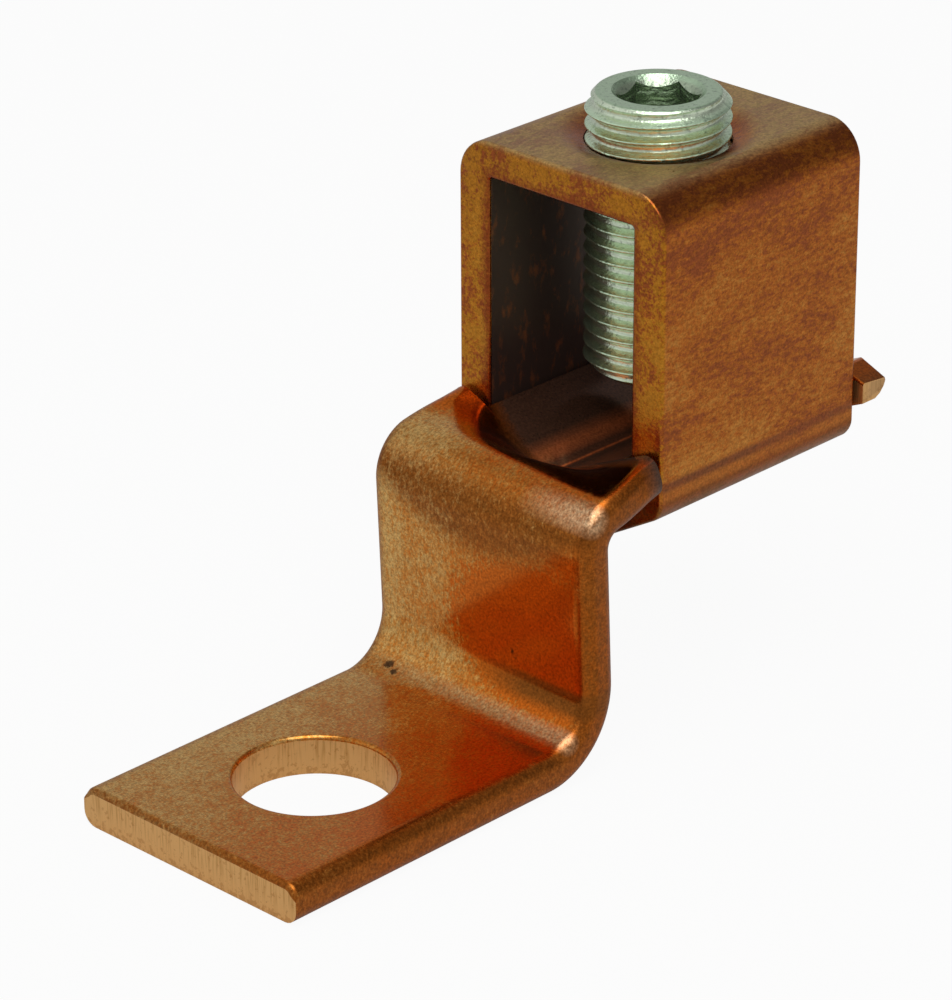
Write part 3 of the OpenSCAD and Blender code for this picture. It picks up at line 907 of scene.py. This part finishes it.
def extruded_copper(collar):
    """Oxidised extruded copper: orange-brown with golden grains and purple-brown stains, olive on top, with
    painted shade towards the crown and in bands along the lower rounding.
    """
    material, add, place, spot = new_metal("oxidised extruded copper")
    drawn = add("Mapping", {"Vector": place, "Scale": (0.45, 1.0, 1.0)})
    stain = add("TexNoise", (drawn, per_mm(3.2), 5.0, 0.6))
    grain = add("TexNoise", (drawn, per_mm(0.34), 4.0, 0.72))
    mottle = add("Math", (grain, 0.5), operation="SUBTRACT")
    mottle = add("Math", (mottle, 1.2, stain), operation="MULTIPLY_ADD")
    # Painted shade: the colour turns darker and redder towards the crown
    top = COLLAR_HIGH.z
    crown_shade = add("MapRange", (spot["Z"], top - 8 * MM, top - collar.crown, 0.0, -0.16))
    crown_shade = add("Math", (mottle, crown_shade), operation="ADD")
    tones = (0.28, collar.stain), (0.46, collar.copper), (0.72, collar.gold)
    tone = add("ValToRGB", (crown_shade,), stops=tones)
    tone = sawn_front(add, collar, spot, mottle, tone)
    # Painted shade in bands along the lower rounding, where it mirrors the shadowed floor, and the olive haze
    # on top
    height = add("MapRange", (spot["Z"], COLLAR_LOW.z, top))
    bands = [(position, linear(band)) for position, band in FLANK_SHADING]
    bands += [(0.275, collar.copper), (0.98, collar.copper), (0.998, collar.olive)]
    bands = add("ValToRGB", (height,), stops=bands)
    share = add("ValToRGB", (height,), stops=greys(BAND_SHARE))
    patchy = add("MapRange", (mottle, 0.3, 0.6, 0.45, 1.1))
    share = add("Math", (share, patchy), operation="MULTIPLY")
    tone = add("Mix", (share, tone, bands), data_type="RGBA")
    gloss = add("MapRange", (mottle, 0.0, 1.0, 0.16, 0.38))
    gloss = add("Math", (share, 0.2, gloss), operation="MULTIPLY_ADD")
    bump = add("Bump", {"Height": grain, "Strength": 0.5, "Distance": 0.03 * MM})
    show(add, {"Base Color": pitted(add, place, tone, 0.28), "Roughness": gloss, "Metallic": 1.0,
               "Normal": bump})
    return material


def shaded_inside_copper(collar):
    """Copper inside the collar: a thick brown-black oxide that is partly painted shade, with a few browner
    streaks down the walls.
    """
    material, add, place, _ = new_metal("dark oxidised copper with painted shade")
    drawn = add("Mapping", {"Vector": place, "Scale": (1.0, 1.0, 0.45)})
    streaks = add("TexNoise", (drawn, per_mm(0.9), 6.0, 0.7))
    tone = add("ValToRGB", (streaks,), stops=((0.54, collar.oxide), (0.72, collar.streak)))
    bump = add("Bump", {"Height": streaks, "Strength": 0.3, "Distance": 0.05 * MM})
    show(add, {"Base Color": tone, "Roughness": 0.42, "Metallic": 0.6, "Normal": bump})
    return material


def plated_steel(screw):
    """Zinc plated steel: bright and a little hazy with a faint green cast, rough where the broach tore it,
    with its thread painted brighter than the ring for the light it catches.
    """
    material, add, place, _ = new_metal("zinc plated steel")
    speck = add("TexNoise", (place, per_mm(0.3), 4.0, 0.65))
    flat = add("VectorMath", (place, (1, 1, 0)), operation="MULTIPLY")
    out = add("VectorMath", (flat, SCREW_AXIS), operation="DISTANCE")
    # From the axis outwards: the socket, the turned ring, and the root and crest of the thread, which are
    # painted brighter for the light they catch
    outward = add("MapRange", (out, 0.0, SCREW_RADIUS))
    ring = screw.ring_radius / SCREW_RADIUS
    tone = add("ValToRGB", (outward,), stops=((0.57, screw.broached), (0.6, screw.plating),
                                               (ring, screw.plating), (0.87, screw.root),
                                               (0.97, screw.rolled)))
    dirt = add("MapRange", (speck, 0.46, 0.3, 0.0, 0.6))
    tone = add("Mix", (dirt, tone, screw.dirt), data_type="RGBA")
    gloss = add("MapRange", (speck, 0.0, 1.0, 0.2, 0.08))
    # The broach leaves torn ridges across the walls of the socket
    socket = add("MapRange", (out, screw.hexagon * 0.59, screw.hexagon * 0.5 - 0.05 * MM))
    torn = add("TexWave", {"Vector": place, "Scale": 0.1 * math.pi * per_mm(0.75), "Distortion": 5.0,
                           "Detail": 2.0, "Detail Scale": 1.5}, bands_direction="Z").outputs["Fac"]
    bump = add("Bump", {"Height": torn, "Strength": socket, "Distance": 0.07 * MM})
    bump = add("Bump", {"Height": speck, "Strength": 0.6, "Distance": 0.08 * MM, "Normal": bump})
    show(add, {"Base Color": tone, "Roughness": gloss, "Metallic": 0.92, "Normal": bump})
    return material


class LUG_OT_offset_tang(bpy.types.Operator):
    """Model the bent copper strip with its hole, saddle, neck and head"""
    bl_idname = "lug.offset_tang"
    bl_label = "Offset Tang"

    def execute(self, context):
        tang = context.scene.lug_tang
        strip = model_tang(tang)
        strip.data.materials.append(rolled_copper(tang))
        shoulder_x = offset_path(tang)[5].x
        flush = 0.97
        finish_faces(strip, sheared_copper(tang), lambda place, normal: (
            normal.x < -flush and place.x < -tang.end + SAME
            or abs(normal.z) < ACROSS and place.xy.length < tang.stud / 2 + SAME
            or place.x > shoulder_x - SAME and (abs(normal.y) > flush or abs(normal.x) > flush)))
        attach(strip, "lug")
        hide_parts("offset_tang")
        return {"FINISHED"}


class LUG_OT_collar(bpy.types.Operator):
    """Model the copper collar with its V floor and its screw hole"""
    bl_idname = "lug.collar"
    bl_label = "Collar"

    def execute(self, context):
        tang, collar = context.scene.lug_tang, context.scene.lug_collar
        body = model_collar(tang, collar)
        body.data.materials.append(extruded_copper(collar))
        inner = collar.way / 2 + SAME
        half_way = (COLLAR_LOW.z + COLLAR_HIGH.z) / 2
        under_top = COLLAR_HIGH.z - collar.top_wall + SAME
        # The faces inside the collar get the dark copper, partly painted shade
        finish_faces(body, shaded_inside_copper(collar), lambda place, normal: (
            abs(place.y) < inner and place.z < under_top and abs(normal.x) < ACROSS
            and (normal.z > ACROSS or place.y * normal.y < -SAME
                 or normal.z < -ALONG and place.z > half_way)))
        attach(body, "lug")
        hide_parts("collar")
        return {"FINISHED"}


class LUG_OT_set_screw(bpy.types.Operator):
    """Model the threaded set screw with its hexagon socket"""
    bl_idname = "lug.set_screw"
    bl_label = "Set Screw"

    def execute(self, context):
        screw = context.scene.lug_screw
        piece = model_screw(screw)
        piece.data.materials.append(plated_steel(screw))
        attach(piece, "screw")
        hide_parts("set_screw")
        return {"FINISHED"}


class LUG_OT_stage(bpy.types.Operator):
    """Set up the floor, the light and the camera"""
    bl_idname = "lug.stage"
    bl_label = "Stage"

    def execute(self, context):
        scene, stage = context.scene, context.scene.lug_stage
        scene.view_settings.view_transform = "Standard"
        self.lay_floor(stage)
        self.light_room(scene, stage)
        self.hang_lamp(stage)
        self.place_camera(scene, stage)
        return {"FINISHED"}

    def seen_by(self, add):
        """Whether a surface is seen by the camera itself, and whether mirrored in metal or through glass."""
        rays = add("LightPath").outputs
        glossy, through = rays["Is Glossy Ray"], rays["Is Transmission Ray"]
        return rays["Is Camera Ray"], add("Math", (glossy, through), operation="MAXIMUM")

    def lay_floor(self, stage):
        """A pale floor just under the tang, lifted to white for the camera but keeping its shadow."""
        floor = begin("floor", bpy.ops.mesh.primitive_plane_add, size=FLOOR_WIDTH,
                      location=(0, 0, -FLOOR_GAP))
        bpy.ops.mesh.subdivide(number_cuts=3)
        clear_selection()
        material = bpy.data.materials.new("pale floor")
        add = clear_nodes(material)
        camera, mirrored = self.seen_by(add)
        lift = add("Math", (mirrored, FLOOR_MIRRORED), operation="MULTIPLY")
        lift = add("Math", (camera, FLOOR_WHITE, lift), operation="MULTIPLY_ADD")
        matt = add("BsdfDiffuse", {"Color": stage.floor})
        white = add("Emission", {"Color": linear("#FFFFFF"), "Strength": 1.0})
        add("OutputMaterial", {"Surface": add("MixShader", (lift, matt, white))})
        floor.data.materials.append(material)

    def light_room(self, scene, stage):
        """A white room for the camera, dimmer for the metal, with an unlit side and a bright wall."""
        scene.world = bpy.data.worlds.new("white room")
        add = clear_nodes(scene.world)
        way = add("TexCoord").outputs["Generated"]
        height = add("SeparateXYZ", (way,)).outputs["Z"]
        walls = add("MapRange", (height, 0.0, OVERHEAD, stage.horizon, stage.room),
                    interpolation_type="SMOOTHSTEP")
        for side, fade, gain in ((UNLIT_SIDE, UNLIT_FADE, stage.unlit), (LIT_SIDE, LIT_FADE, stage.lit)):
            facing = add("VectorMath", (way, side), operation="DOT_PRODUCT")
            gain = add("MapRange", (facing, *fade, 1.0, gain), interpolation_type="SMOOTHSTEP")
            walls = add("Math", (walls, gain), operation="MULTIPLY")
        camera, mirrored = self.seen_by(add)
        light = add("MapRange", (mirrored, 0.0, 1.0, stage.fill, walls))
        seen = add("MapRange", (camera, 0.0, 1.0, light, 1.0))
        room = add("Background", {"Color": linear("#FFFFFF"), "Strength": seen})
        add("OutputWorld", {"Surface": room})

    def hang_lamp(self, stage):
        """A soft lamp overhead, a little to the camera's side."""
        clear_selection()
        bpy.ops.object.light_add(type="AREA", location=LAMP_AIM + LAMP_DISTANCE * LAMP_WAY)
        lamp = bpy.context.object
        lamp.name = lamp.data.name = "key_lamp"
        lamp.rotation_euler = LAMP_WAY.to_track_quat("Z", "Y").to_euler()
        lamp.data.shape, lamp.data.size, lamp.data.size_y = "RECTANGLE", LAMP_WIDTH, LAMP_DEPTH
        lamp.data.energy = stage.key

    def place_camera(self, scene, stage):
        """The photograph's camera, aimed at a point in the lug's middle plane."""
        clear_selection()
        back = Vector((math.sin(stage.azimuth) * math.cos(stage.elevation),
                       -math.cos(stage.azimuth) * math.cos(stage.elevation), math.sin(stage.elevation)))
        right = (-back).cross(Vector((0, 0, 1))).normalized()
        up = back.cross(right)
        c, s = math.cos(stage.roll), math.sin(stage.roll)
        right, up = c * right + s * up, c * up - s * right
        place = CAMERA_AIM + stage.distance * back
        bpy.ops.object.camera_add(location=place)
        camera = bpy.context.object
        camera.name = camera.data.name = "photo_camera"
        camera.matrix_world = Matrix((right, up, back)).transposed().to_4x4()
        camera.location = place
        camera.data.sensor_fit = "VERTICAL"
        camera.data.sensor_height = SENSOR_HEIGHT
        camera.data.lens = SENSOR_HEIGHT * FOCAL_PIXELS / PICTURE_HEIGHT
        camera.data.clip_start, camera.data.clip_end = CLIP_START, CLIP_END
        scene.camera = camera


class LUG_PT_panel(bpy.types.Panel):
    """Lists the pieces of the lug and their sizes"""
    bl_idname = "LUG_PT_panel"
    bl_label = "Terminal Lug"
    bl_space_type = "VIEW_3D"
    bl_region_type = "UI"
    bl_category = "Terminal Lug"

    def draw(self, context):
        for operator, name in STEPS:
            box = self.layout.box()
            box.operator(operator)
            settings = getattr(context.scene, name)
            for field in settings.bl_rna.properties:
                if not field.is_readonly and field.identifier != "name":
                    box.prop(settings, field.identifier)


STEPS = (("lug.offset_tang", "lug_tang"), ("lug.collar", "lug_collar"),
         ("lug.set_screw", "lug_screw"), ("lug.stage", "lug_stage"))
SETTINGS = {"lug_tang": TangSettings, "lug_collar": CollarSettings, "lug_screw": ScrewSettings,
            "lug_stage": StageSettings}
CLASSES = (*SETTINGS.values(), LUG_OT_offset_tang, LUG_OT_collar, LUG_OT_set_screw, LUG_OT_stage,
           LUG_PT_panel)


def register():
    for kind in CLASSES:
        bpy.utils.register_class(kind)
    for name, kind in SETTINGS.items():
        setattr(bpy.types.Scene, name, PointerProperty(type=kind))


def unregister():
    for name in SETTINGS:
        delattr(bpy.types.Scene, name)
    for kind in reversed(CLASSES):
        bpy.utils.unregister_class(kind)


def main():
    register()
    bpy.ops.lug.offset_tang()
    bpy.ops.lug.collar()
    bpy.ops.lug.set_screw()
    bpy.ops.lug.stage()


if __name__ == "__main__":
    main()
